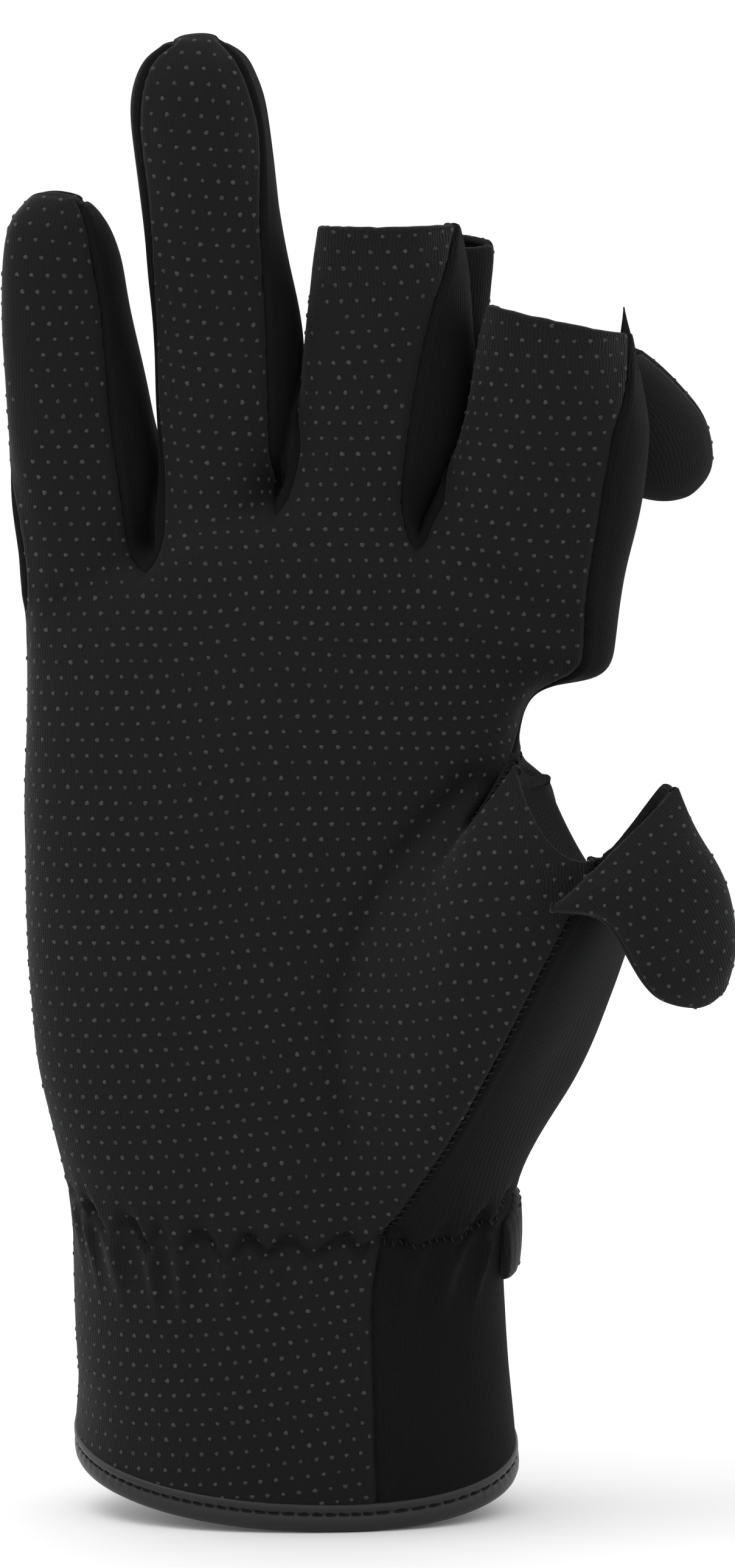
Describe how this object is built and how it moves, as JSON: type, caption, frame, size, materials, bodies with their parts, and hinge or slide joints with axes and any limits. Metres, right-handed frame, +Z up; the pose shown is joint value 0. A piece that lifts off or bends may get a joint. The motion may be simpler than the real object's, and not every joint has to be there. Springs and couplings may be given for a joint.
{
  "type": "fishing_glove",
  "caption": "Right-hand black stretch fishing glove with a dotted grip palm, worn shape, and the thumb, index and middle fingertip caps folded back",
  "frame": {"origin": "middle of the wrist opening at the hem, where the hand goes in", "axes": "+X runs across the hand towards the thumb, +Y out of the back of the hand so the palm faces -Y, +Z up the hand towards the fingertips"},
  "size_m": [0.1138, 0.0722, 0.2354],
  "materials": {
    "grip_fabric": "matte knit with small raised grey rubber dots",
    "plain_fabric": "matte smooth stretch knit",
    "binding_tape": "slightly shiny folded binding tape",
    "strap_fabric": "matte padded strap"
  },
  "bodies": {
    "root": {"palm_panel": "grip_fabric", "back_panel": "plain_fabric", "side_panel_little_ring": "plain_fabric", "side_panel_ring_middle": "plain_fabric", "side_panel_middle_index": "plain_fabric", "thumb_back": "plain_fabric", "hem_binding": "binding_tape", "wrist_strap": "strap_fabric", "middle_cap_grip": "grip_fabric", "middle_cap_back": "plain_fabric", "index_cap_grip": "grip_fabric", "index_cap_back": "plain_fabric", "thumb_cap_grip": "grip_fabric", "thumb_cap_back": "plain_fabric"}
  },
  "joints": []
}
